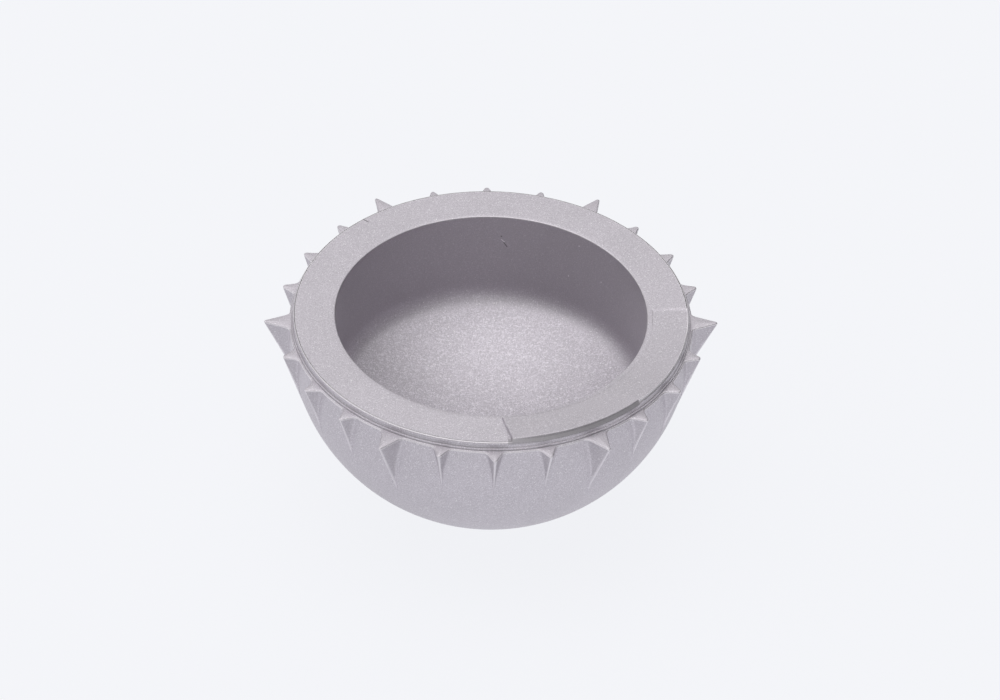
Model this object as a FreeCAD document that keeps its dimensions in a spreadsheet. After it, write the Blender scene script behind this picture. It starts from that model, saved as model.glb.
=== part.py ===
import FreeCAD, Part
import math
import os
import Sketcher

# Acetabular cup: the one-piece cast metal shell of a hip socket.
#
# The shell lies as it is laid down on a table, dome down and mouth up. Its
# origin is the middle of the small flat at the dome's pole, on which it rests,
# and +Z is the axis of the cup. The dome is a sphere, and the cavity is a
# straight bore with a rounded corner and a dished floor. Fins stand around the
# equator, with one of the large fins on +X. All lengths are millimetres, and
# all angles are degrees.

NODE = "cup_shell"

SIZES = [
    ("dome_radius", 27.0, "outer sphere"),
    ("rest_flat", 2.4, "radius of the small flat at the dome's pole, on which it rests"),
    ("wall", 6.13, "between the outer sphere's radius and the bore of the cavity"),
    ("bore_depth", 14.0, "rim top down to where the bore would meet the floor"),
    ("floor_corner", 3.0, "rounded corner between the bore and the floor"),
    ("floor_dish", 45.0, "radius of the sphere that dishes the floor"),
    ("rim_rise", 2.3, "top of the rim above the centre of the outer sphere"),
    ("outer_bevel", 0.2, "broken outer edge of the rim"),
    ("bore_bevel", 0.12, "broken edge between the rim and the cavity"),
    ("rim_inset", 0.47, "rim wall inside the outer sphere's radius"),
    ("upper_step", 0.6, "rim top down to the upper ledge"),
    ("upper_ledge", 0.25, "width of the upper ledge"),
    ("shoulder_drop", 1.2, "rim top down to the shoulder, where the fins start"),
    ("sectors", 6, "equal sectors around the cup"),
    ("sector_fins", 4, "fins in a sector, the large one first"),
    ("fin_sink", 0.5, "root of a fin inside the shoulder's edge"),
    ("fin_bite", 0.01, "lower end of a fin's edge below the dome's surface"),
    ("large_reach", 3.43, "large fin's edge beyond the outer sphere's radius, at the shoulder"),
    ("large_width", 3.05, "large fin across its root, at the shoulder"),
    ("large_edge", 0.16, "width of the large fin's edge"),
    ("small_reach", 1.84, "small fin's edge beyond the outer sphere's radius, at the shoulder"),
    ("small_width", 2.1, "small fin across its root, at the shoulder"),
    ("small_edge", 0.38, "width of the small fin's edge"),
    ("witness_start", -87.3, "azimuth of the gate witness's high end, at the inner edge"),
    ("witness_slant", 2.3, "turn of that end from the inner to the outer edge"),
    ("witness_corner", -77.0, "azimuth where its filed corner begins"),
    ("witness_jog", -43.2, "azimuth where its filed corner ends"),
    ("witness_finish", 3.2, "azimuth of its low end"),
    ("witness_lip", 0.73, "rim left between the witness and the bore"),
    ("witness_shelf", 0.62, "rim left outside the witness before its corner"),
    ("witness_margin", 0.22, "rim left outside the witness after its corner"),
    ("witness_bed", 0.5, "root of the witness below the rim top"),
    ("witness_tilt", 1.2, "tilt of its ground face, rising towards -Y"),
    ("witness_dip", 0.06, "ground face below the rim top at the cup's axis"),
    ("corner_reach", 0.62, "filed corner inwards from the rim wall"),
    ("corner_depth", 0.42, "filed corner down the rim wall"),
]

CENTRE_Z = "sqrt(Sizes.dome_radius ^ 2 - Sizes.rest_flat ^ 2)"
RIM_Z = "(%s + Sizes.rim_rise)" % CENTRE_Z
RIM_RADIUS = "(Sizes.dome_radius - Sizes.rim_inset)"
BORE_RADIUS = "(Sizes.dome_radius - Sizes.wall)"
DISH_RISE = "sqrt(Sizes.floor_dish ^ 2 - %s ^ 2)" % BORE_RADIUS
DISH_Z = "(%s - Sizes.bore_depth + %s)" % (RIM_Z, DISH_RISE)
SHOULDER_Z = "(%s - Sizes.shoulder_drop)" % RIM_Z
SHOULDER_RISE = "(Sizes.rim_rise - Sizes.shoulder_drop)"
SHOULDER_RADIUS = "sqrt(Sizes.dome_radius ^ 2 - %s ^ 2)" % SHOULDER_RISE
FIN_PITCH = "(360 / (Sizes.sectors * Sizes.sector_fins))"

START, END, CENTRE = range(1, 4)
ORIGIN = (-1, 1)
AXIS_X, AXIS_Y = -1, -2
UP = FreeCAD.Vector(0, 0, 1)

doc = FreeCAD.newDocument("AcetabularCup")


def make_sheet():
    """Puts every driving size in the spreadsheet, with its name and meaning."""
    sheet = doc.addObject("Spreadsheet::Sheet", "Sizes")
    for row, (name, value, meaning) in enumerate(SIZES, start=1):
        sheet.set("A%d" % row, name)
        sheet.set("B%d" % row, str(value))
        sheet.set("C%d" % row, meaning)
        sheet.setAlias("B%d" % row, name)
    doc.recompute()


def worth(expression):
    """Works out an expression on the spreadsheet's sizes as a plain number."""
    result = doc.Sizes.evalExpression(expression)
    return float(getattr(result, "Value", result))


def origin_feature(body, role):
    """Returns one of the body's own origin planes or axes."""
    return next(one for one in body.Origin.OriginFeatures if one.Role == role)


def add_sketch(body, name, role):
    """Adds a sketch that lies on one of the body's origin planes."""
    sketch = body.newObject("Sketcher::SketchObject", name)
    sketch.AttachmentSupport = [(origin_feature(body, role), "")]
    sketch.MapMode = "FlatFace"
    return sketch


def bind(sketch, name, expression, *where):
    """Adds a named dimension to a sketch, driven by the spreadsheet."""
    amount = worth(expression)
    if where[0] == "Angle":
        amount = math.radians(amount)
    index = sketch.addConstraint(Sketcher.Constraint(*where, amount))
    sketch.renameConstraint(index, name)
    sketch.setExpression("Constraints." + name, expression)


def rule(sketch, *what):
    """Adds a geometric rule, such as a shared point or a level line."""
    sketch.addConstraint(Sketcher.Constraint(*what))


def add_line(sketch, start, end, guide=False):
    segment = Part.LineSegment(FreeCAD.Vector(*start, 0), FreeCAD.Vector(*end, 0))
    return sketch.addGeometry(segment, guide)


def add_arc(sketch, centre, radius, start_deg, end_deg):
    circle = Part.Circle(FreeCAD.Vector(*centre, 0), UP, radius)
    turn = Part.ArcOfCircle(circle, math.radians(start_deg), math.radians(end_deg))
    return sketch.addGeometry(turn)


def polar(radius, azimuth):
    turn = math.radians(azimuth)
    return radius * math.cos(turn), radius * math.sin(turn)


def add_blank(body):
    """Turns the solid blank: foot, dome, shoulder, two rim steps and flat top."""
    radius = worth("Sizes.dome_radius")
    bevel = worth("Sizes.outer_bevel")
    rim_z = worth(RIM_Z)
    rim_r = worth(RIM_RADIUS)
    ledge_r = rim_r + worth("Sizes.upper_ledge")
    ledge_z = rim_z - worth("Sizes.upper_step")
    shoulder_z = worth(SHOULDER_Z)
    shoulder_r = worth(SHOULDER_RADIUS)
    flat = worth("Sizes.rest_flat")
    centre_z = worth(CENTRE_Z)
    foot_deg = math.degrees(math.atan2(-centre_z, flat))
    shoulder_deg = math.degrees(math.atan2(shoulder_z - centre_z, shoulder_r))
    corners = [
        (shoulder_r, shoulder_z),
        (ledge_r, shoulder_z),
        (ledge_r, ledge_z),
        (rim_r, ledge_z),
        (rim_r, rim_z - bevel),
        (rim_r - bevel, rim_z),
        (0, rim_z),
        (0, 0),
        (flat, 0),
    ]

    sketch = add_sketch(body, "blank_section", "XZ_Plane")
    dome = add_arc(sketch, (0, centre_z), radius, foot_deg, shoulder_deg)
    sides = [add_line(sketch, a, b) for a, b in zip(corners, corners[1:])]
    shoulder, lower_wall, ledge, upper_wall, bevel_line, top, axis, foot = sides

    rule(sketch, "Coincident", dome, END, shoulder, START)
    for first, second in zip(sides, sides[1:]):
        rule(sketch, "Coincident", first, END, second, START)
    rule(sketch, "Coincident", foot, END, dome, START)
    rule(sketch, "Coincident", axis, END, *ORIGIN)
    rule(sketch, "PointOnObject", dome, CENTRE, AXIS_Y)
    rule(sketch, "PointOnObject", axis, START, AXIS_Y)
    for level in (shoulder, ledge, top, foot):
        rule(sketch, "Horizontal", level)
    for upright in (lower_wall, upper_wall):
        rule(sketch, "Vertical", upright)
    bind(sketch, "dome", "Sizes.dome_radius", "Radius", dome)
    bind(sketch, "rest_flat", "Sizes.rest_flat", "DistanceX", foot, START, foot, END)
    bind(sketch, "rim_top", RIM_Z, "DistanceY", *ORIGIN, top, START)
    bind(sketch, "rim_wall", RIM_RADIUS, "DistanceX", *ORIGIN, upper_wall, START)
    bind(sketch, "ledge", "Sizes.upper_ledge", "DistanceX", ledge, END, ledge, START)
    bind(sketch, "step", "Sizes.upper_step", "DistanceY", ledge, START, top, START)
    bind(sketch, "drop", "Sizes.shoulder_drop", "DistanceY", shoulder, START, top, START)
    bind(sketch, "bevel_rise", "Sizes.outer_bevel", "DistanceY", bevel_line, START, bevel_line, END)
    bind(sketch, "bevel_run", "Sizes.outer_bevel", "DistanceX", bevel_line, END, bevel_line, START)

    blank = body.newObject("PartDesign::Revolution", "blank")
    blank.Profile = sketch
    blank.ReferenceAxis = (sketch, ["V_Axis"])
    blank.Angle = 360
    doc.recompute()


def add_fin(body, kind, slot):
    """Pads one fin from the shoulder down and inwards, along its own edge.

    The section is a narrow trapezoid, so the fin is bounded by flat faces. Its
    edge runs down tangent to the dome, and ends just under its surface.
    """
    reach, width, edge = ["Sizes.%s_%s" % (kind, one) for one in ("reach", "width", "edge")]
    turn = "(%s * %d)" % (FIN_PITCH, slot)
    tip = "(Sizes.dome_radius + %s)" % reach
    root = "(%s - Sizes.fin_sink)" % SHOULDER_RADIUS
    flare = "((%s - %s) / 2 / (%s - %s))" % (width, edge, tip, SHOULDER_RADIUS)
    root_width = "(%s + 2 * %s * Sizes.fin_sink)" % (width, flare)
    end_sphere = "(Sizes.dome_radius - Sizes.fin_bite)"
    tip_distance = "sqrt(%s ^ 2 + %s ^ 2)" % (tip, SHOULDER_RISE)
    end_dip = "(acos(%s / %s) - atan(%s / %s))" % (end_sphere, tip_distance, SHOULDER_RISE, tip)
    run = "(%s + %s * sin(%s))" % (SHOULDER_RISE, end_sphere, end_dip)
    inwards = "(%s * cos(%s) - %s)" % (end_sphere, end_dip, tip)
    corners = [
        (worth(tip), worth(edge) / 2),
        (worth(root), worth(root_width) / 2),
        (worth(root), -worth(root_width) / 2),
        (worth(tip), -worth(edge) / 2),
    ]

    sketch = add_sketch(body, "%s_fin_section_%d" % (kind, slot), "XY_Plane")
    sketch.setExpression("AttachmentOffset.Base.z", SHOULDER_Z)
    sketch.setExpression("AttachmentOffset.Rotation.Angle", turn)
    sides = [add_line(sketch, one, corners[(index + 1) % 4]) for index, one in enumerate(corners)]
    left, back, right, nose = sides
    for first, second in zip(sides, sides[1:] + sides[:1]):
        rule(sketch, "Coincident", first, END, second, START)
    rule(sketch, "Symmetric", left, END, right, START, AXIS_X)
    rule(sketch, "Symmetric", nose, START, nose, END, AXIS_X)
    bind(sketch, "tip", tip, "DistanceX", *ORIGIN, nose, START)
    bind(sketch, "root", root, "DistanceX", *ORIGIN, back, START)
    bind(sketch, "edge", edge, "DistanceY", nose, START, nose, END)
    bind(sketch, "root_width", root_width, "DistanceY", back, END, back, START)
    doc.recompute()

    fin = body.newObject("PartDesign::Pad", "%s_fin_%d" % (kind, slot))
    fin.Profile = sketch
    fin.UseCustomVector = True
    fin.AlongSketchNormal = True
    fin.setExpression("Length", run)
    fin.setExpression("Direction.x", "%s * cos(%s)" % (inwards, turn))
    fin.setExpression("Direction.y", "%s * sin(%s)" % (inwards, turn))
    fin.setExpression("Direction.z", "-%s" % run)
    doc.recompute()
    return fin


def add_fins(body):
    """Makes the fins of one sector and repeats the sector around the cup."""
    count = int(worth("Sizes.sector_fins"))
    fins = [add_fin(body, "large" if slot == 0 else "small", slot) for slot in range(count)]
    crown = body.newObject("PartDesign::PolarPattern", "crown_of_fins")
    crown.Originals = fins
    crown.Axis = (origin_feature(body, "Z_Axis"), [""])
    crown.Angle = 360
    crown.setExpression("Occurrences", "Sizes.sectors")
    body.Tip = crown
    doc.recompute()


def add_hollow(body):
    """Turns out the cavity: broken edge, straight bore, corner and dished floor."""
    bore = worth(BORE_RADIUS)
    bevel = worth("Sizes.bore_bevel")
    rim_z = worth(RIM_Z)
    corner = worth("Sizes.floor_corner")
    dish = worth("Sizes.floor_dish")
    dish_z = worth(DISH_Z)
    corner_r = bore - corner
    corner_z = dish_z - math.sqrt((dish - corner) ** 2 - corner_r ** 2)
    meeting_deg = math.degrees(math.atan2(corner_z - dish_z, corner_r))
    points = [(bore, corner_z), (bore, rim_z - bevel), (bore + bevel, rim_z), (0, rim_z), (0, dish_z - dish)]

    sketch = add_sketch(body, "hollow_section", "XZ_Plane")
    floor = add_arc(sketch, (0, dish_z), dish, -90, meeting_deg)
    rounding = add_arc(sketch, (corner_r, corner_z), corner, meeting_deg, 0)
    sides = [add_line(sketch, a, b) for a, b in zip(points, points[1:])]
    wall, bevel_line, lid, axis = sides
    rule(sketch, "Tangent", floor, END, rounding, START)
    rule(sketch, "Tangent", rounding, END, wall, START)
    for first, second in zip(sides, sides[1:]):
        rule(sketch, "Coincident", first, END, second, START)
    rule(sketch, "Coincident", axis, END, floor, START)
    rule(sketch, "PointOnObject", floor, CENTRE, AXIS_Y)
    rule(sketch, "PointOnObject", floor, START, AXIS_Y)
    rule(sketch, "PointOnObject", axis, START, AXIS_Y)
    rule(sketch, "Horizontal", lid)
    rule(sketch, "Vertical", wall)
    bind(sketch, "bore", BORE_RADIUS, "DistanceX", *ORIGIN, wall, START)
    bind(sketch, "corner", "Sizes.floor_corner", "Radius", rounding)
    bind(sketch, "dish", "Sizes.floor_dish", "Radius", floor)
    bind(sketch, "dish_centre", DISH_Z, "DistanceY", *ORIGIN, floor, CENTRE)
    bind(sketch, "lid", RIM_Z, "DistanceY", *ORIGIN, lid, START)
    bind(sketch, "bevel_rise", "Sizes.bore_bevel", "DistanceY", bevel_line, START, bevel_line, END)
    bind(sketch, "bevel_run", "Sizes.bore_bevel", "DistanceX", bevel_line, START, bevel_line, END)
    doc.recompute()

    hollow = body.newObject("PartDesign::Groove", "hollow")
    hollow.Profile = sketch
    hollow.ReferenceAxis = (sketch, ["V_Axis"])
    hollow.Angle = 360
    doc.recompute()


def add_witness_outline(body):
    """Draws the gate witness from above, on the bed where it is built up."""
    inner = "(%s + Sizes.witness_lip)" % BORE_RADIUS
    shelf = "(%s - Sizes.witness_shelf)" % RIM_RADIUS
    margin = "(%s - Sizes.witness_margin)" % RIM_RADIUS
    outer_start = "(Sizes.witness_start + Sizes.witness_slant)"
    stations = [
        (inner, "Sizes.witness_start"),
        (shelf, outer_start),
        (shelf, "Sizes.witness_corner"),
        (RIM_RADIUS, "Sizes.witness_corner"),
        (RIM_RADIUS, "Sizes.witness_jog"),
        (margin, "Sizes.witness_jog"),
        (margin, "Sizes.witness_finish"),
        (inner, "Sizes.witness_finish"),
    ]

    sketch = add_sketch(body, "witness_outline", "XY_Plane")
    sketch.setExpression("AttachmentOffset.Base.z", "%s - Sizes.witness_bed" % RIM_Z)
    spots = [polar(worth(radius), worth(azimuth)) for radius, azimuth in stations]
    spokes = [add_line(sketch, (0, 0), spot, True) for spot in spots]
    for index, (spoke, (_, azimuth)) in enumerate(zip(spokes, stations)):
        rule(sketch, "Coincident", spoke, START, *ORIGIN)
        bind(sketch, "azimuth_%d" % index, azimuth, "Angle", AXIS_X, START, spoke, START)
    for index, (radius, azimuth) in enumerate(stations):
        after = (index + 1) % len(stations)
        if index % 2 == 0:
            side = add_line(sketch, spots[index], spots[after])
            rule(sketch, "Coincident", side, START, spokes[index], END)
            rule(sketch, "Coincident", side, END, spokes[after], END)
            continue
        first, last = sorted((index, after), key=lambda one: worth(stations[one][1]))
        side = add_arc(sketch, (0, 0), worth(radius), worth(stations[first][1]), worth(stations[last][1]))
        rule(sketch, "Coincident", side, CENTRE, *ORIGIN)
        rule(sketch, "Coincident", side, START, spokes[first], END)
        rule(sketch, "Coincident", side, END, spokes[last], END)
        bind(sketch, "radius_%d" % index, radius, "Radius", side)
    return sketch


def add_witness(body):
    """Builds the gate witness: a low land on the rim, ground off at a tilt."""
    outline = add_witness_outline(body)
    doc.recompute()
    bed = body.newObject("PartDesign::Pocket", "witness_bed")
    bed.Profile = outline
    bed.Reversed = True
    bed.setExpression("Length", "2 * Sizes.witness_bed")
    doc.recompute()
    ground = body.newObject("PartDesign::Plane", "ground_face")
    ground.AttachmentSupport = [(origin_feature(body, "XY_Plane"), "")]
    ground.MapMode = "FlatFace"
    tilt = FreeCAD.Rotation(FreeCAD.Vector(1, 0, 0), -worth("Sizes.witness_tilt"))
    ground.AttachmentOffset = FreeCAD.Placement(FreeCAD.Vector(), tilt)
    ground.setExpression("AttachmentOffset.Base.z", "%s - Sizes.witness_dip" % RIM_Z)
    ground.setExpression("AttachmentOffset.Rotation.Angle", "-Sizes.witness_tilt")
    doc.recompute()
    land = body.newObject("PartDesign::Pad", "gate_witness")
    land.Profile = outline
    land.Type = "UpToFace"
    land.UpToFace = (ground, [""])
    doc.recompute()


def add_filed_corner(body):
    """Files the corner between the gate witness and the rim wall to a slope."""
    wall = RIM_RADIUS
    top = "(%s + Sizes.witness_bed)" % RIM_Z
    foot = "(%s - Sizes.corner_depth)" % RIM_Z
    middle = "(Sizes.witness_corner + Sizes.witness_jog) / 2"
    points = [
        (worth(wall) - worth("Sizes.corner_reach"), worth(top)),
        (worth(wall), worth(foot)),
        (worth(wall) + worth("Sizes.corner_reach"), worth(top)),
    ]

    sketch = add_sketch(body, "corner_section", "XZ_Plane")
    turn = FreeCAD.Rotation(FreeCAD.Vector(0, 1, 0), worth(middle))
    sketch.AttachmentOffset = FreeCAD.Placement(FreeCAD.Vector(), turn)
    sketch.setExpression("AttachmentOffset.Rotation.Angle", middle)
    slope, outside, lid = [add_line(sketch, points[one], points[(one + 1) % 3]) for one in range(3)]
    rule(sketch, "Coincident", slope, END, outside, START)
    rule(sketch, "Coincident", outside, END, lid, START)
    rule(sketch, "Coincident", lid, END, slope, START)
    rule(sketch, "Horizontal", lid)
    bind(sketch, "wall", wall, "DistanceX", *ORIGIN, slope, END)
    bind(sketch, "foot", foot, "DistanceY", *ORIGIN, slope, END)
    bind(sketch, "top", top, "DistanceY", *ORIGIN, slope, START)
    bind(sketch, "inwards", "Sizes.corner_reach", "DistanceX", slope, START, slope, END)
    bind(sketch, "outwards", "Sizes.corner_reach", "DistanceX", outside, START, outside, END)
    doc.recompute()
    corner = body.newObject("PartDesign::Groove", "filed_corner")
    corner.Profile = sketch
    corner.ReferenceAxis = (sketch, ["V_Axis"])
    corner.Midplane = True
    corner.setExpression("Angle", "Sizes.witness_jog - Sizes.witness_corner")
    doc.recompute()


def check_document():
    """Stops where any object of the document failed to build."""
    for thing in doc.Objects:
        if "Invalid" in thing.State or "Error" in thing.State:
            raise RuntimeError("%s failed: %s" % (thing.Name, thing.State))


def main():
    make_sheet()
    body = doc.addObject("PartDesign::Body", NODE)
    body.Label = NODE
    body.Placement = FreeCAD.Placement()
    add_blank(body)
    add_fins(body)
    add_hollow(body)
    add_witness(body)
    add_filed_corner(body)
    doc.recompute()
    check_document()
    if body.Shape.isNull() or not body.Shape.isValid():
        raise RuntimeError("the shell is not a valid solid")
    os.makedirs("parts", exist_ok=True)
    body.Shape.exportStep("parts/%s.step" % NODE)
    box = body.Shape.BoundBox
    print("%s: volume %.1f mm3, box %.3f x %.3f x %.3f mm"
          % (NODE, body.Shape.Volume, box.XLength, box.YLength, box.ZLength))


main()
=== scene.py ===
import math

import bmesh
import bpy
import numpy as np
from mathutils import Matrix, Vector


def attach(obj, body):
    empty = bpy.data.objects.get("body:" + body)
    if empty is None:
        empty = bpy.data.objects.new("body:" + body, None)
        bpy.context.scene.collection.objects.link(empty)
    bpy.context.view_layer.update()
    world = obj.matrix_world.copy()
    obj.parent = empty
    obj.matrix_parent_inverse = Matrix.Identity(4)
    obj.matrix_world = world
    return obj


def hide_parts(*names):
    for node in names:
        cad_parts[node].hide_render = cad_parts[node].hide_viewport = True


# A cast metal hip cup, seen on a white table from its open side.
#
# The shell is one casting. Its visible surface is made here from four sheets of
# faces bent round the cup's axis: the finned band, the rim with its ground
# land, the cavity inside and the cap of the dome. They are joined into one skin
# whose edges and roots are rounded as a blasted casting's are. Sizes are in
# millimetres until a sheet is laid, and its points are then in metres.

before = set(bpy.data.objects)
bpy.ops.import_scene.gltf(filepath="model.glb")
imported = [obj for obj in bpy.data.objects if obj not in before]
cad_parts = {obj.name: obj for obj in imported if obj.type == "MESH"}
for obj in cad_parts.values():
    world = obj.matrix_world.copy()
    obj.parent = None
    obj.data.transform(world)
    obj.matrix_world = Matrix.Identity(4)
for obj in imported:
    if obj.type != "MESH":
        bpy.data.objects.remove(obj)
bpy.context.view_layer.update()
MM = 0.001

DOME_RADIUS = 27.0
FOOT_RADIUS = 2.4
DOME_Z = math.sqrt(DOME_RADIUS ** 2 - FOOT_RADIUS ** 2)
BORE_RADIUS = 20.87
RIM_Z = DOME_Z + 2.3
RIM_RADIUS = 26.53
LEDGE_Z = RIM_Z - 0.86
LEDGE_RADIUS = 26.7
SHOULDER_Z = RIM_Z - 1.2

SHOULDER_RADIUS = math.sqrt(DOME_RADIUS ** 2 - (SHOULDER_Z - DOME_Z) ** 2)

FLOOR_CORNER = 3.0
FLOOR_DISH = 45.0
DISH_Z = RIM_Z - 14.0 + math.sqrt(FLOOR_DISH ** 2 - BORE_RADIUS ** 2)
CORNER_Z = DISH_Z - math.sqrt((FLOOR_DISH - FLOOR_CORNER) ** 2 - (BORE_RADIUS - FLOOR_CORNER) ** 2)

RIM_ROUND = 0.27
BORE_ROUND = 0.15
SHOULDER_ROUND = 0.2
BAND_FOOT_Z = 15.4


# Fins: how much of a fin's height its root fillet takes, and the smallest and
# the largest fillet, and the radius of the nose where the fin runs out

FILLET_SHARE = 0.35
FILLET_LEAST = 0.02
FILLET_MOST = 0.8
NOSE_LEAST = 0.04


class Fin:
    """One kind of fin: a wedge that runs down tangent to the dome, blunt above and sharp below."""

    def __init__(self, reach, width, edge, offsets):
        self.tip = DOME_RADIUS + reach
        slope = (width - edge) / 2 / (self.tip - SHOULDER_RADIUS)
        self.angle = math.atan(slope)
        self.nose = edge / 2 / slope / (1 / math.sin(self.angle) - 1)
        rise = SHOULDER_Z - DOME_Z
        distance = math.hypot(self.tip, rise)
        dip = math.acos(DOME_RADIUS / distance) - math.atan(rise / self.tip)
        self.end_radius = DOME_RADIUS * math.cos(dip)
        self.end_z = DOME_Z - DOME_RADIUS * math.sin(dip)
        self.offsets = offsets

    def edge_radius(self, z):
        """Distance of the fin's edge from the cup's axis at height z."""
        share = (SHOULDER_Z - z) / (SHOULDER_Z - self.end_z)
        return self.tip + (self.end_radius - self.tip) * share

    def outline(self, turn, z):
        """Distance of the fin's surface from the cup's axis, at an angle away from the fin's middle."""
        turn = np.abs(turn)
        height = (self.edge_radius(z) - dome_radius_at(z)) / (self.tip - SHOULDER_RADIUS)
        blunt = self.nose * np.clip(height, 0, 1) ** 2 + NOSE_LEAST
        apex = self.edge_radius(z) + blunt * (1 / math.sin(self.angle) - 1)
        centre = apex - blunt / math.sin(self.angle)
        touch = np.arctan2(blunt * math.cos(self.angle), centre + blunt * math.sin(self.angle))
        flank = apex * math.sin(self.angle) / np.sin(turn + self.angle)
        root = np.maximum(blunt ** 2 - (centre * np.sin(turn)) ** 2, 0)
        nose = centre * np.cos(turn) + np.sqrt(root)
        return np.where(turn < touch, nose, flank)


def mirrored(values):
    """Turns one half of a list of offsets into the whole list, low to high."""
    return sorted([-one for one in values if one] + list(values))


LARGE_FIN = Fin(3.43, 3.05, 0.3, mirrored(
    [0, 0.09, 0.18, 0.28, 0.45, 0.75] + [1.05 + 0.3 * k for k in range(10)] + [4.3, 5.0, 5.8, 6.6]))
SMALL_FIN = Fin(1.84, 2.3, 0.42, mirrored(
    [0, 0.12, 0.24, 0.36, 0.48, 0.62, 0.8] + [1.1 + 0.3 * k for k in range(7)] + [3.4, 4.2, 5.2, 6.4]))
FIN_COUNT = 24
FIN_PITCH = 360 / FIN_COUNT


def fin_at(slot):
    return LARGE_FIN if slot % 4 == 0 else SMALL_FIN


def band_azimuths():
    """Azimuths in degrees, close together at the fins and wide between them."""
    found = []
    for slot in range(FIN_COUNT):
        found += [slot * FIN_PITCH + one for one in fin_at(slot).offsets]
        found.append((slot + 0.5) * FIN_PITCH)
    return np.array(sorted(found))


def dome_radius_at(z):
    return np.sqrt(np.maximum(DOME_RADIUS ** 2 - (z - DOME_Z) ** 2, 0))


def blended_max(a, b, reach):
    """The larger of two radii, with the corner between them filled in."""
    h = np.maximum(reach - np.abs(a - b), 0) / reach
    return np.maximum(a, b) + h * h * reach / 4


def wall_radius(azimuth, z):
    """Outside of the shell at an azimuth in degrees: dome, fins and root fillets."""
    slot = int(round(azimuth / FIN_PITCH))
    fin = fin_at(slot)
    turn = math.radians(azimuth - slot * FIN_PITCH)
    dome = dome_radius_at(z)
    height = np.maximum(fin.edge_radius(z) - dome, 0)
    fillet = np.clip(FILLET_SHARE * height, FILLET_LEAST, FILLET_MOST)
    return np.where(z < fin.end_z, dome, blended_max(dome, fin.outline(turn, z), fillet))


# Sheets bent round the axis

def lay_sheet(name, radius, azimuth, z):
    """Adds a flat grid and bends it round the axis, one vertex to each array entry."""
    rows, columns = radius.shape
    bpy.ops.object.select_all(action="DESELECT")
    bpy.ops.mesh.primitive_grid_add(x_subdivisions=columns - 1, y_subdivisions=rows - 1, size=1)
    sheet = bpy.context.object
    sheet.name = name
    turn = np.radians(azimuth)
    points = np.stack([radius * np.cos(turn), radius * np.sin(turn), z], -1) * MM
    sheet.data.vertices.foreach_set("co", points.reshape(-1).astype(np.float32))
    sheet.data.update()
    return sheet


def closed(azimuths):
    """Repeats the first azimuth after the last, a full turn on."""
    return np.append(azimuths, azimuths[0] + 360)


def turned_sheet(name, azimuths, section):
    """A sheet of revolution: the same section at each azimuth."""
    turns = closed(azimuths)
    radius = np.repeat(np.array([r for r, _ in section])[:, None], len(turns), 1)
    z = np.repeat(np.array([z for _, z in section])[:, None], len(turns), 1)
    return lay_sheet(name, radius, np.repeat(turns[None, :], len(section), 0), z)


# How many times the shoulder's rounding may widen where it crosses a steep flank
STEEPEST_ROUND = 2.4


def make_band():
    """The finned band, from the shoulder's flat down to below the fins."""
    turns = closed(band_azimuths())
    low = SHOULDER_Z - SHOULDER_ROUND
    heights = np.concatenate([
        low - 0.05 * np.arange(3),
        np.linspace(low - 0.3, BAND_FOOT_Z, 34),
    ])
    base = np.array([wall_radius(azimuth, np.array([low]))[0] for azimuth in turns])
    slant = np.gradient(base, np.radians(turns)) / base
    widened = np.minimum(np.sqrt(1 + slant ** 2), STEEPEST_ROUND)
    flat_edge = base - SHOULDER_ROUND * widened
    radius = [np.maximum(np.minimum(flat_edge - 0.05, LEDGE_RADIUS + 0.1), LEDGE_RADIUS + 0.06)]
    z = [np.full(len(turns), SHOULDER_Z)]
    for swing in np.radians([90, 60, 30]):
        radius.append(base - SHOULDER_ROUND * widened * (1 - math.cos(swing)))
        z.append(np.full(len(turns), low + SHOULDER_ROUND * math.sin(swing)))
    for height in heights:
        radius.append(np.array([wall_radius(azimuth, np.array([height]))[0] for azimuth in turns]))
        z.append(np.full(len(turns), height))
    return lay_sheet("band", np.array(radius), np.repeat(turns[None, :], len(radius), 0), np.array(z))


# Rim with its gate witness: azimuths in degrees, sizes in millimetres. The filed
# corner deepens over its first few degrees, from a share of its reach to all of it

WITNESS_START = -86.15
WITNESS_SLANT = 2.3
WITNESS_JOG = -43.2
WITNESS_FINISH = 3.2
WITNESS_TILT = math.tan(math.radians(1.2))
WITNESS_DIP = 0.06
WITNESS_INNER = BORE_RADIUS + 0.73
WITNESS_SHELF = RIM_RADIUS - 0.62
WITNESS_MARGIN = RIM_RADIUS - 0.22
CORNER_REACH = 0.52
CORNER_DEPTH = 0.3
CORNER_LIFT = 0.5
TAPER_START = -85
TAPER_LENGTH = 9
TAPER_LEAST = 0.6
CREASE = (-0.14, -0.05, 0.05, 0.14)
CREASE_SHARES = (0.0, 0.15, 0.85, 1.0)


def rim_azimuths():
    """One column to a degree, and four at each break of the witness's outline."""
    breaks = (WITNESS_START, WITNESS_JOG, WITNESS_FINISH)
    found = [one for one in np.arange(-180, 180, 1.0) if min(abs(one - b) for b in breaks) > 0.35]
    for one in breaks:
        found += [one + step for step in CREASE]
    return np.array(sorted(found))


def ground_height(radius, azimuth):
    return RIM_Z - WITNESS_DIP - radius * math.sin(math.radians(azimuth)) * WITNESS_TILT


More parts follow.
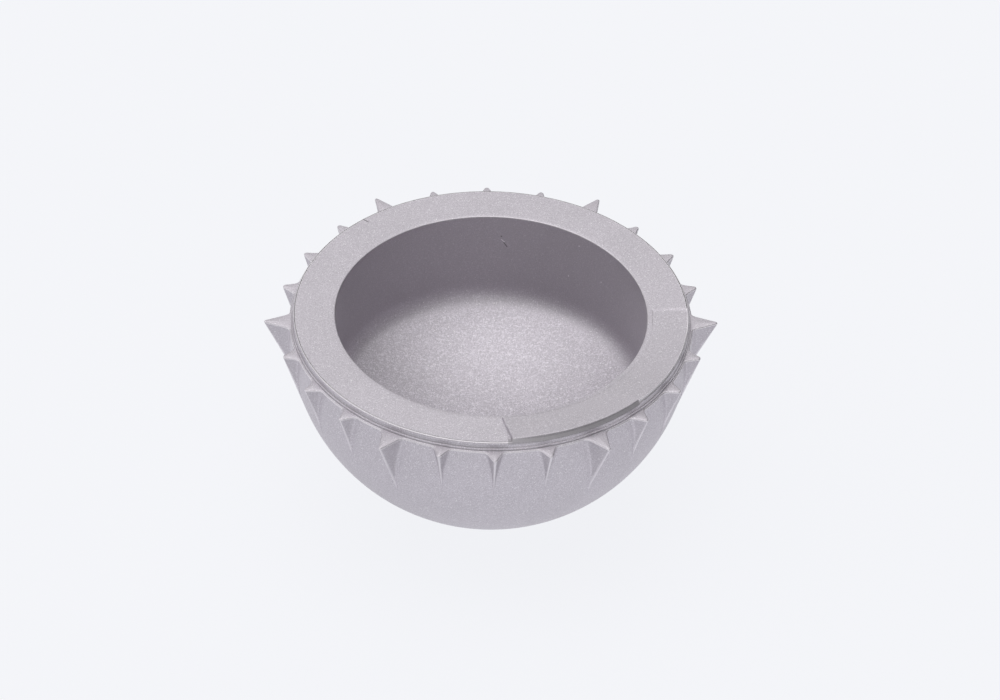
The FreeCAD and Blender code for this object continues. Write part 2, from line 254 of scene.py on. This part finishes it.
def outer_section(azimuth, zone):
    """The rim's outer edge and the land's outer step, from the wall inwards."""
    arc = [(RIM_RADIUS - RIM_ROUND * (1 - math.cos(a)), RIM_Z - RIM_ROUND * (1 - math.sin(a)))
           for a in np.radians([0, 22.5, 45, 67.5, 90])]
    if zone == "filed":
        taper = min(max((azimuth - TAPER_START) / TAPER_LENGTH, 0), 1)
        reach = CORNER_REACH * (TAPER_LEAST + (1 - TAPER_LEAST) * taper)
        slope = (CORNER_DEPTH + CORNER_LIFT) / reach
        lift = ground_height(RIM_RADIUS - 0.5, azimuth) - RIM_Z
        top = RIM_RADIUS - (lift + CORNER_DEPTH) / slope
        foot = RIM_Z - CORNER_DEPTH
        spots = [(RIM_RADIUS, foot - 0.05), (RIM_RADIUS - 0.01, foot + 0.01)]
        for share in (0.12, 0.35, 0.6, 0.8, 0.94):
            run = share * (RIM_RADIUS - top)
            spots.append((RIM_RADIUS - run, foot + run * slope))
        return spots + [(top - 0.02, RIM_Z + lift - 0.01), (top - 0.08, ground_height(top - 0.08, azimuth))]
    edge = WITNESS_MARGIN
    if zone == "margin":
        arc = arc[:2] + [(RIM_RADIUS - 0.1, arc[2][1]), (edge + 0.05, RIM_Z - 0.02),
                         (edge + 0.035, RIM_Z - 0.005)]
    level = ground_height(edge, azimuth) if zone == "margin" else RIM_Z
    base = arc[-1][1]
    return arc + [(edge + 0.02, base + 0.1 * (level - base)), (edge, base + 0.5 * (level - base)),
                  (edge - 0.02, base + 0.9 * (level - base)), (edge - 0.07, level)]


def rim_section(azimuth, zone, share):
    """All of the rim's section at one azimuth, from the shoulder to the bowl."""
    outside = [
        (LEDGE_RADIUS + 0.03, SHOULDER_Z), (LEDGE_RADIUS + 0.008, SHOULDER_Z + 0.012),
        (LEDGE_RADIUS, SHOULDER_Z + 0.04), (LEDGE_RADIUS, LEDGE_Z - 0.08),
        (LEDGE_RADIUS - 0.02, LEDGE_Z - 0.025), (LEDGE_RADIUS - 0.07, LEDGE_Z),
        (RIM_RADIUS + 0.05, LEDGE_Z), (RIM_RADIUS + 0.012, LEDGE_Z + 0.012),
        (RIM_RADIUS, LEDGE_Z + 0.05),
    ]
    outer = outer_section(azimuth, zone)
    if zone != "plain" and share < 1:
        rest = outer_section(azimuth, "plain")
        outer = [(a[0] + (b[0] - a[0]) * share, a[1] + (b[1] - a[1]) * share) for a, b in zip(rest, outer)]
    flats = np.linspace(outer[-1][0] - 0.2, WITNESS_INNER + 0.2, 9)
    inside = []
    for radius in list(flats) + [WITNESS_INNER + 0.06]:
        ground = ground_height(radius, azimuth) if zone != "plain" else RIM_Z
        inside.append((radius, RIM_Z + (ground - RIM_Z) * share))
    level = inside[-1][1] - RIM_Z
    inside += [(WITNESS_INNER + 0.015, RIM_Z + 0.9 * level), (WITNESS_INNER, RIM_Z + 0.5 * level),
               (WITNESS_INNER - 0.015, RIM_Z + 0.1 * level), (WITNESS_INNER - 0.06, RIM_Z)]
    centre = (BORE_RADIUS + BORE_ROUND, RIM_Z - BORE_ROUND)
    for a in np.radians([90, 60, 30, 0]):
        inside.append((centre[0] - BORE_ROUND * math.cos(a), centre[1] + BORE_ROUND * math.sin(a)))
    return outside + outer + inside


def make_rim():
    """The rim, its steps and the low land left on it where its gate was ground off."""
    turns = closed(rim_azimuths())
    shares = dict(zip(CREASE, CREASE_SHARES))
    columns = []
    for turn in turns:
        azimuth = (turn + 180) % 360 - 180
        zone, share = "plain", 1.0
        if WITNESS_START - 0.2 < azimuth < WITNESS_JOG:
            zone = "filed"
        elif WITNESS_JOG <= azimuth < WITNESS_FINISH + 0.2:
            zone = "margin"
        for step, part in shares.items():
            if abs(azimuth - WITNESS_START - step) < 0.01:
                share = part
            if abs(azimuth - WITNESS_FINISH - step) < 0.01:
                share = 1 - part
        columns.append(rim_section(azimuth, zone, share))
    section = np.array(columns)
    radius, z = section[:, :, 0].T, section[:, :, 1].T
    azimuth = np.repeat(turns[None, :], radius.shape[0], 0)
    inwards = np.clip((radius - WITNESS_INNER) / (WITNESS_SHELF - WITNESS_INNER), 0, 1) - 0.5
    near = np.clip(1 - np.abs(azimuth - WITNESS_START) / 5, 0, 1)
    return lay_sheet("rim", radius, azimuth + WITNESS_SLANT * inwards * near, z)


def make_bowl():
    """The inside: straight bore, rounded corner and dished floor."""
    corner_r = BORE_RADIUS - FLOOR_CORNER
    meeting = math.atan2(CORNER_Z - DISH_Z, corner_r)
    section = [(BORE_RADIUS, z) for z in np.linspace(RIM_Z - BORE_ROUND - 0.1, CORNER_Z + 0.2, 12)]
    section += [(corner_r + FLOOR_CORNER * math.cos(a), CORNER_Z + FLOOR_CORNER * math.sin(a))
                for a in np.linspace(0, meeting, 14)]
    rows = np.append(np.linspace(meeting, -math.pi / 2, 30)[1:-1], [math.radians(-89.8), -math.pi / 2])
    section += [(FLOOR_DISH * math.cos(a), DISH_Z + FLOOR_DISH * math.sin(a)) for a in rows]
    return turned_sheet("bowl", np.arange(-180, 180, 1.5), section)


def make_cap():
    """The plain lower dome, down to the small flat on which it rests."""
    top = math.asin((BAND_FOOT_Z - 0.4 - DOME_Z) / DOME_RADIUS)
    foot = math.atan2(-DOME_Z, FOOT_RADIUS)
    section = [(DOME_RADIUS * math.cos(a), DOME_Z + DOME_RADIUS * math.sin(a))
               for a in np.linspace(top, foot, 36)]
    section += [(FOOT_RADIUS * 0.5, 0), (0, 0)]
    return turned_sheet("cap", np.arange(-180, 180, 1.5), section)


WELD = 0.002
SMOOTH_ANGLE = 40


def close_sheet(sheet):
    """Welds a sheet's seam, and its pole if it has one."""
    bpy.ops.object.select_all(action="DESELECT")
    sheet.select_set(True)
    bpy.context.view_layer.objects.active = sheet
    bpy.ops.object.mode_set(mode="EDIT")
    bpy.ops.mesh.select_all(action="SELECT")
    bpy.ops.mesh.remove_doubles(threshold=WELD * MM)
    bpy.ops.mesh.select_all(action="DESELECT")
    bpy.ops.object.mode_set(mode="OBJECT")


def ring_between(skin, low, high, inner, outer):
    """The vertices of the open rings between these heights and radii, as loops by azimuth."""
    found = set()
    for edge in skin.edges:
        if edge.is_boundary:
            middle = (edge.verts[0].co + edge.verts[1].co) / 2 / MM
            if low < middle.z < high and inner < math.hypot(middle.x, middle.y) < outer:
                found.update(edge.verts)
    rings = []
    while found:
        ring, front = set(), [found.pop()]
        while front:
            vertex = front.pop()
            ring.add(vertex)
            for edge in vertex.link_edges:
                other = edge.other_vert(vertex)
                if edge.is_boundary and other in found:
                    found.remove(other)
                    front.append(other)
        rings.append(sorted(ring, key=lambda one: math.atan2(one.co.y, one.co.x)))
    return sorted(rings, key=lambda ring: (len(ring), ring[0].co.z, ring[0].co.xy.length))


def bridge(skin, low, high, inner, outer):
    """Closes the gap between two open rings with a strip of triangles."""
    first, second = ring_between(skin, low, high, inner, outer)

    def azimuth(ring, index):
        lap, place = divmod(index, len(ring))
        return math.atan2(ring[place].co.y, ring[place].co.x) + lap * 2 * math.pi

    a = b = 0
    while a < len(first) or b < len(second):
        corner_a, corner_b = first[a % len(first)], second[b % len(second)]
        if b >= len(second) or (a < len(first) and azimuth(first, a + 1) <= azimuth(second, b + 1)):
            a += 1
            skin.faces.new((corner_a, corner_b, first[a % len(first)]))
        else:
            b += 1
            skin.faces.new((corner_a, corner_b, second[b % len(second)]))


def make_shell():
    """Joins the four sheets into one closed skin."""
    sheets = [make_band(), make_rim(), make_bowl(), make_cap()]
    for sheet in sheets:
        close_sheet(sheet)
    bpy.ops.object.select_all(action="DESELECT")
    for sheet in sheets:
        sheet.select_set(True)
    shell = sheets[0]
    bpy.context.view_layer.objects.active = shell
    bpy.ops.object.join()
    shell.name = "cast_shell"
    skin = bmesh.new()
    skin.from_mesh(shell.data)
    bridge(skin, BAND_FOOT_Z - 0.6, BAND_FOOT_Z + 0.1, 0, DOME_RADIUS)
    bridge(skin, SHOULDER_Z - 0.05, SHOULDER_Z + 0.05, LEDGE_RADIUS - 0.1, LEDGE_RADIUS + 0.3)
    bridge(skin, RIM_Z - 0.4, RIM_Z, 0, BORE_RADIUS + 0.3)
    skin.to_mesh(shell.data)
    skin.free()
    bpy.ops.object.mode_set(mode="EDIT")
    bpy.ops.mesh.select_all(action="SELECT")
    bpy.ops.mesh.normals_make_consistent(inside=False)
    bpy.ops.mesh.select_all(action="DESELECT")
    bpy.ops.object.mode_set(mode="OBJECT")
    bpy.ops.object.select_all(action="DESELECT")
    shell.select_set(True)
    bpy.ops.object.shade_smooth_by_angle(angle=math.radians(SMOOTH_ANGLE))
    print("shell: %d triangles" % sum(len(face.vertices) - 2 for face in shell.data.polygons))
    return shell


# Materials

class Value:
    """A shader socket that can be used in sums, products and comparisons."""

    def __init__(self, maker, socket):
        self.maker = maker
        self.socket = socket

    def maths(self, operation, *others):
        return self.maker.node("ShaderNodeMath", {"operation": operation}, self, *others)

    def __add__(self, other):
        return self.maths("ADD", other)

    def __sub__(self, other):
        return self.maths("SUBTRACT", other)

    def __mul__(self, other):
        return self.maths("MULTIPLY", other)

    def __truediv__(self, other):
        return self.maths("DIVIDE", other)

    def __pow__(self, other):
        return self.maths("POWER", other)

    def __rsub__(self, other):
        return self.maker.node("ShaderNodeMath", {"operation": "SUBTRACT"}, other, self)

    __radd__ = __add__
    __rmul__ = __mul__

    def clipped(self, low, high):
        """0 at low and 1 at high, with a soft ramp between."""
        return self.maker.node("ShaderNodeMapRange", {"interpolation_type": "SMOOTHSTEP"},
                               self, low, high, 0.0, 1.0)

    def within(self, low, high, soft):
        """1 between two limits, with a soft ramp outside each."""
        return self.clipped(low - soft, low) * (1 - self.clipped(high, high + soft))


class Maker:
    """Adds nodes to one material's or world's tree."""

    def __init__(self, tree):
        self.tree = tree

    def node(self, kind, settings=None, *values, output=0, **named):
        """Adds a node, sets it up and fills its sockets in order and by name."""
        made = self.tree.nodes.new(kind)
        for key, value in (settings or {}).items():
            setattr(made, key, value)
        for key, value in list(enumerate(values)) + list(named.items()):
            socket = made.inputs[key if isinstance(key, int) else key.replace("_", " ")]
            if isinstance(value, Value):
                self.tree.links.new(value.socket, socket)
            else:
                socket.default_value = value
        return Value(self, made.outputs[output])

    def noise(self, place, scale, detail=2.0, roughness=0.5):
        return self.node("ShaderNodeTexNoise", None, Vector=place, Scale=scale, Detail=detail,
                         Roughness=roughness)

    def mixed(self, share, first, second):
        """Mixes two colours."""
        made = self.tree.nodes.new("ShaderNodeMix")
        made.data_type = "RGBA"
        for index, value in ((0, share), (6, first), (7, second)):
            if isinstance(value, Value):
                self.tree.links.new(value.socket, made.inputs[index])
            else:
                made.inputs[index].default_value = value
        return Value(self, made.outputs[2])


def new_material(name):
    material = bpy.data.materials.new(name)
    material.use_nodes = True
    material.node_tree.nodes.clear()
    return material, Maker(material.node_tree)


def finish_material(maker, shader, target="ShaderNodeOutputMaterial"):
    output = maker.tree.nodes.new(target)
    maker.tree.links.new(shader.socket, output.inputs["Surface"])


# Small marks in the casting's skin, and the painted shadow of the burr where the filed corner ends: their
# ends in millimetres and half their width

DARK_MARKS_AND_BURR_SHADOW = [
    ((-16.95, 20.2, RIM_Z), (-16.25, 19.6, RIM_Z), 0.09),
    ((7.683, -19.93, RIM_Z + 0.36), (7.683, -19.93, RIM_Z + 0.3), 0.17),
    ((2.23, 20.76, RIM_Z - 4.4), (2.65, 20.7, RIM_Z - 5.1), 0.09),
    ((1.82, 20.79, RIM_Z - 3.3), (1.9, 20.78, RIM_Z - 3.4), 0.1),
    # The painted shadow of the small burr where the filed corner ends.
    ((19.3, -18.62, RIM_Z - 0.1), (19.9, -17.98, RIM_Z - 1.2), 0.12),
]
PALE_MARKS = [
    ((7.65, -20.25, RIM_Z + 0.36), (7.65, -20.25, RIM_Z + 0.3), 0.16),
    ((1.88, 20.78, RIM_Z - 3.9), (2.3, 20.74, RIM_Z - 4.3), 0.08),
    ((12.27, 16.88, RIM_Z - 1.8), (12.27, 16.88, RIM_Z - 1.9), 0.1),
    ((11.03, 17.72, RIM_Z - 7.7), (11.03, 17.72, RIM_Z - 7.8), 0.09),
    ((15.29, 14.2, RIM_Z - 5.9), (15.29, 14.2, RIM_Z - 6.0), 0.1),
]


def streak(make, place, start, end, width):
    """1 along a straight mark between two points, and 0 away from it."""
    start, end = Vector(start) * MM, Vector(end) * MM
    along = end - start
    offset = make.node("ShaderNodeVectorMath", {"operation": "SUBTRACT"}, place, start)
    share = make.node("ShaderNodeVectorMath", {"operation": "DOT_PRODUCT"}, offset, along, output=1)
    share = make.node("ShaderNodeClamp", None, share / along.length_squared)
    foot = make.node("ShaderNodeVectorMath", {"operation": "SCALE"}, along, Scale=share)
    away = make.node("ShaderNodeVectorMath", {"operation": "DISTANCE"}, offset, foot, output=1)
    return 1 - away.clipped(0.4 * width * MM, width * MM)


def marks(make, place, listed):
    """All the marks of one list together."""
    found = [streak(make, place, *one) for one in listed]
    total = found[0]
    for one in found[1:]:
        total = make.node("ShaderNodeMath", {"operation": "MAXIMUM"}, total, one)
    return total


# Zones of the metal, as pairs of sizes in millimetres between which each fades in

# The cavity's wall, painted with shade, and its floor, painted with glints, fade in over the next three.
CORNER_FADE = (14.5, 18.2)
FLOOR_FADE = (18.6, 20.0)
FLOOR_ABOVE = (8.5, 9.5)
# Over which the land darkens towards its front.
LAND_FADE = (0, 16)
# Where the painted highlight on the rim's back edge fades in.
BEHIND_FADE = (2, 10)


class Spot:
    """Where a point of the metal lies on the cup, in millimetres, and radians round its axis."""

    def __init__(self, make, place):
        axes = make.node("ShaderNodeSeparateXYZ", None, place).socket.node.outputs
        x, self.y, self.z = (Value(make, one) / MM for one in axes)
        flat = x * x + self.y * self.y
        self.radius = flat ** 0.5
        self.above = (flat + (self.z - DOME_Z) ** 2) ** 0.5 - DOME_RADIUS
        self.turn = make.node("ShaderNodeMath", {"operation": "ARCTAN2"}, self.y, x)


def bowl_zones(spot):
    """Shares of the wall inside, which is painted with shade, and of the floor, whose grain is painted with
    stronger contrast and pale specks as glints.
    """
    wall = spot.radius.within(20.6, BORE_RADIUS + 0.01, 0.08) * spot.z.clipped(*CORNER_FADE)
    floor = (1 - spot.radius.clipped(*FLOOR_FADE)) * spot.z.clipped(*FLOOR_ABOVE)
    return wall, floor


def fin_zones(make, spot):
    """Shares of the fins' noses, painted as highlights, and of their flanks, painted with shade."""
    side = make.node("ShaderNodeMath", {"operation": "SINE"}, spot.turn * (FIN_COUNT / 2))
    side = make.node("ShaderNodeMath", {"operation": "ABSOLUTE"}, side)
    below = 1 - spot.z.clipped(SHOULDER_Z - 0.3, SHOULDER_Z - 0.2)
    nose = (1 - side.clipped(0.04, 0.09)) * spot.above.clipped(0.06, 0.15) * below
    flank = spot.above.clipped(0.08, 0.25) * below * (1 - nose)
    return nose, flank


def painted_highlight_edges(spot):
    """Share of the edges painted bright as highlights: the rim's, the shoulder's and the bore's, and the
    rim's edge at the back.
    """
    radius, z = spot.radius, spot.z
    rim = radius.within(RIM_RADIUS - 0.28, RIM_RADIUS - 0.12, 0.05) * z.clipped(RIM_Z - 0.24, RIM_Z - 0.16)
    shoulder = z.within(SHOULDER_Z - 0.2, SHOULDER_Z - 0.08, 0.03) * radius.clipped(26.9, 26.95)
    bore = radius.within(BORE_RADIUS + 0.02, BORE_RADIUS + 0.1, 0.03) * z.clipped(RIM_Z - 0.12, RIM_Z - 0.08)
    behind = radius.within(RIM_RADIUS - 0.3, RIM_RADIUS + 0.01, 0.03) * z.clipped(RIM_Z - 0.3, RIM_Z - 0.25)
    return rim + shoulder + bore * 0.5 + behind * spot.y.clipped(*BEHIND_FADE)


def painted_step_shade(spot):
    """Shares of the rim's upright wall, of its foot, and of the foot of the ledge's own step, where shade is
    painted.
    """
    radius, z = spot.radius, spot.z
    step = radius.within(RIM_RADIUS - 0.03, RIM_RADIUS + 0.03, 0.03) * z.within(LEDGE_Z, RIM_Z - 0.4, 0.1)
    foot = (radius.within(RIM_RADIUS - 0.03, RIM_RADIUS + 0.04, 0.04)
            * z.within(LEDGE_Z - 0.02, LEDGE_Z + 0.08, 0.05))
    lower = (radius.within(LEDGE_RADIUS - 0.02, LEDGE_RADIUS + 0.03, 0.04)
             * z.within(SHOULDER_Z, SHOULDER_Z + 0.1, 0.08))
    return step, foot, lower


def witness_zones(spot):
    """Shares of the filed corner's length, of its face, where shade is painted, and of the land's front,
    which is darkened towards the front.
    """
    start, jog, finish = (math.radians(one) for one in (WITNESS_START, WITNESS_JOG, WITNESS_FINISH))
    drop = RIM_Z - WITNESS_DIP - spot.y * WITNESS_TILT - spot.z
    cut = spot.turn.within(start, jog, 0.002)
    filed = (cut * drop.clipped(0.05, 0.12) * spot.z.within(RIM_Z - CORNER_DEPTH, RIM_Z + 1, 0.05)
             * spot.radius.clipped(25.6, 25.8))
    land = (spot.turn.within(start, finish, 0.004) * spot.radius.clipped(WITNESS_INNER, WITNESS_INNER + 0.05)
            * spot.z.clipped(RIM_Z - 0.15, RIM_Z - 0.1) * (0 - spot.y).clipped(*LAND_FADE))
    return cut, filed, land


def zones(make, place):
    """Shares of the cavity's wall and floor, of the edges painted as highlights, and of the painted shade in
    the steps, on the fins' flanks and on the filed face, with the land darkened towards its front.
    """
    spot = Spot(make, place)
    wall, floor = bowl_zones(spot)
    nose, flank = fin_zones(make, spot)
    step, foot, lower = painted_step_shade(spot)
    cut, filed, land = witness_zones(spot)
    # The fins' noses are painted as highlights too.
    painted_highlight = painted_highlight_edges(spot) + nose * 0.7
    uncut = 1 - cut * 0.8
    # Painted shade in the steps' walls and feet, less on the filed corner, on the fins' flanks and on the
    # filed face; the land is darkened towards its front as well.
    painted_shade_and_dark_land = (step * 0.5 + foot * 0.8) * uncut + lower + flank * 0.32 + filed * 0.7 + land * 0.32
    return wall, floor, painted_highlight, make.node("ShaderNodeClamp", None, painted_shade_and_dark_land)


METAL_DULL = (0.615, 0.585, 0.628, 1)
METAL_CLEAR = (0.662, 0.628, 0.675, 1)
METAL_GRAIN = (0.71, 0.675, 0.722, 1)
METAL_PIT = (0.53, 0.50, 0.54, 1)
METAL_SPARK = (0.88, 0.85, 0.90, 1)
METAL_FLOOR_GLINT = (0.93, 0.90, 0.95, 1)
METAL_PAINTED_GLINT = (1.0, 0.99, 1.0, 1)
METAL_WALL_SHADE = (0.46, 0.435, 0.47, 1)
METAL_PAINTED_HIGHLIGHT = (1.0, 0.97, 1.0, 1)
METAL_PAINTED_SHADE_AND_DARK_LAND = (0.30, 0.285, 0.30, 1)
MARK_DARK = (0.13, 0.12, 0.13, 1)
MARK_PALE = (1.0, 0.98, 1.0, 1)


def cast_metal():
    """Blasted cobalt-chromium casting: pale, matte, with a fine grain, and with painted glints, highlights
    and shade mixed into its colour.
    """
    material, make = new_material("blasted_casting")
    place = make.node("ShaderNodeTexCoord", output=3)
    cloud = make.noise(place, 160.0, 3.0, 0.6)
    grain = make.noise(place, 2400.0, 2.0, 0.6)
    grit = make.noise(place, 6500.0, 1.0, 0.5)
    speck = make.node("ShaderNodeTexVoronoi", {"feature": "F1"}, Vector=place, Scale=3600.0)
    chosen = make.noise(place, 2900.0, 0.0, 0.5).clipped(0.6, 0.7)
    # Painted glints: scattered pale specks that stand for the blasted metal's glitter.
    painted_glint = (1 - speck.clipped(0.12, 0.34)) * chosen
    wall, floor, painted_highlight, painted_shade_and_dark_land = zones(make, place)
    tone = make.mixed(cloud.clipped(0.3, 0.7), METAL_DULL, METAL_CLEAR)
    tone = make.mixed(grain.clipped(0.35, 0.65) * 0.4, tone, METAL_GRAIN)
    # On the floor the pits, the pale specks and the coarse pale grain are stronger: painted glints where the
    # light falls.
    tone = make.mixed((1 - grit.clipped(0.3, 0.5)) * (0.6 + floor * 0.3), tone, METAL_PIT)
    tone = make.mixed(grit.clipped(0.54, 0.72) * (0.7 + floor * 0.3), tone, METAL_SPARK)
    tone = make.mixed(grain.clipped(0.52, 0.7) * floor * 0.5, tone, METAL_FLOOR_GLINT)
    tone = make.mixed(painted_glint * 0.9, tone, METAL_PAINTED_GLINT)
    # Painted shade on the cavity's wall.
    tone = make.mixed(wall * 0.5, tone, METAL_WALL_SHADE)
    # Painted highlights on the edges and on the fins' noses.
    tone = make.mixed(painted_highlight * 0.6, tone, METAL_PAINTED_HIGHLIGHT)
    # Painted shade, and the land's darker front.
    tone = make.mixed(painted_shade_and_dark_land * 0.5, tone, METAL_PAINTED_SHADE_AND_DARK_LAND)
    # Dark marks, the last of them the painted shadow of the burr.
    tone = make.mixed(marks(make, place, DARK_MARKS_AND_BURR_SHADOW) * 0.8, tone, MARK_DARK)
    tone = make.mixed(marks(make, place, PALE_MARKS) * 0.9, tone, MARK_PALE)
    rough = 0.5 + cloud * 0.06 + grain * 0.1
    height = grain * 0.6 + grit * 0.4 + make.noise(place, 420.0, 2.0, 0.5) * 1.2
    relief = make.node("ShaderNodeBump", None, Strength=0.3, Distance=0.00005, Height=height)
    shader = make.node("ShaderNodeBsdfPrincipled", None, Base_Color=tone, Roughness=rough,
                       Metallic=1.0, Normal=relief)
    finish_material(make, shader)
    return material


# Table, light and camera

FLOOR_WHITE = (0.916, 0.925, 0.958, 1)
FLOOR_MATTE = (0.9, 0.905, 0.93, 1)
FLOOR_SHARE = 0.92
TABLE_SIZE = 6
TABLE_DROP = 0.00002


def table_material():
    """White table: it is seen as a plain white, with the cup's faint shadow in it."""
    material, make = new_material("white_table")
    path = make.node("ShaderNodeLightPath").socket.node
    seen = Value(make, path.outputs["Is Camera Ray"])
    for kind in ("Is Glossy Ray", "Is Transmission Ray"):
        seen = seen + Value(make, path.outputs[kind])
    matte = make.node("ShaderNodeBsdfDiffuse", None, Color=FLOOR_MATTE, Roughness=0.0)
    plain = make.node("ShaderNodeEmission", None, Color=FLOOR_WHITE, Strength=1.0)
    finish_material(make, make.node("ShaderNodeMixShader", None, seen * FLOOR_SHARE, matte, plain))
    return material


def make_table():
    bpy.ops.object.select_all(action="DESELECT")
    bpy.ops.mesh.primitive_plane_add(size=TABLE_SIZE, location=(0, 0, -TABLE_DROP))
    table = bpy.context.object
    table.name = "table"
    bpy.ops.object.transform_apply(location=True, rotation=True, scale=True)
    table.data.materials.append(table_material())
    return table


# The studio: broad soft lights round a white tent, as the azimuth and height of
# the middle of each in degrees, how closely it is gathered there, and how strong it is
SKY = [
    (90, 90, 8, 1.96),
    (90, 90, 30, 0.63),
    (88, 45, 8, 0.61),
    (88, 15, 8, 0.53),
    (178, 45, 8, 1.03),
    (178, 15, 8, 0.72),
    (-2, 45, 8, 0.29),
    (-92, 25, 8, 1.02),
]


def make_world():
    """A studio tent, brightest overhead and on the left."""
    world = bpy.data.worlds.new("studio")
    bpy.context.scene.world = world
    world.use_nodes = True
    world.node_tree.nodes.clear()
    make = Maker(world.node_tree)
    look = make.node("ShaderNodeTexCoord", output=0)
    total = None
    for azimuth, height, gathered, strength in SKY:
        turn, rise = math.radians(azimuth), math.radians(height)
        middle = (math.cos(rise) * math.cos(turn), math.cos(rise) * math.sin(turn), math.sin(rise))
        facing = make.node("ShaderNodeVectorMath", {"operation": "DOT_PRODUCT"}, look, middle, output=1)
        light = make.node("ShaderNodeMath", {"operation": "MAXIMUM"}, facing, 0.0) ** gathered * strength
        total = light if total is None else total + light
    shader = make.node("ShaderNodeBackground", None, Color=(1, 1, 1, 1), Strength=total)
    finish_material(make, shader, "ShaderNodeOutputWorld")


SENSOR_WIDTH = 36
PICTURE_WIDTH = 1000


def make_camera():
    """The photo's viewpoint: far away and from 40 degrees above the rim's plane, in rim radii."""
    unit = RIM_RADIUS * MM
    pixels, distance = 8779.81, 44.235725
    raised, rolled, turn = math.radians(39.741558), math.radians(1.64716), math.radians(-2.2136)
    slide_x, slide_y = -0.044512, 0.178078
    right = Vector((1, 0, 0))
    up = Vector((0, math.sin(raised), math.cos(raised)))
    back = Vector((0, -math.cos(raised), math.sin(raised)))
    right, up = (right * math.cos(rolled) + up * math.sin(rolled),
                 up * math.cos(rolled) - right * math.sin(rolled))
    eye = (back * distance - right * slide_x - up * slide_y) * unit
    whirl = Matrix.Rotation(turn, 3, "Z")
    right, up, back, eye = (whirl @ one for one in (right, up, back, eye))
    pose = Matrix((right, up, back)).transposed().to_4x4()
    pose.translation = eye + Vector((0, 0, RIM_Z * MM))
    camera = bpy.data.objects.new("camera", bpy.data.cameras.new("camera"))
    camera.matrix_world = pose
    camera.data.sensor_width = SENSOR_WIDTH
    camera.data.lens = pixels * SENSOR_WIDTH / PICTURE_WIDTH
    camera.data.clip_start = 0.05
    camera.data.clip_end = 20
    bpy.context.scene.collection.objects.link(camera)
    bpy.context.scene.camera = camera


def main():
    bpy.context.scene.view_settings.view_transform = "Standard"
    shell = make_shell()
    shell.data.materials.append(cast_metal())
    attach(shell, "root")
    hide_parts("cup_shell")
    make_table()
    make_world()
    make_camera()


main()
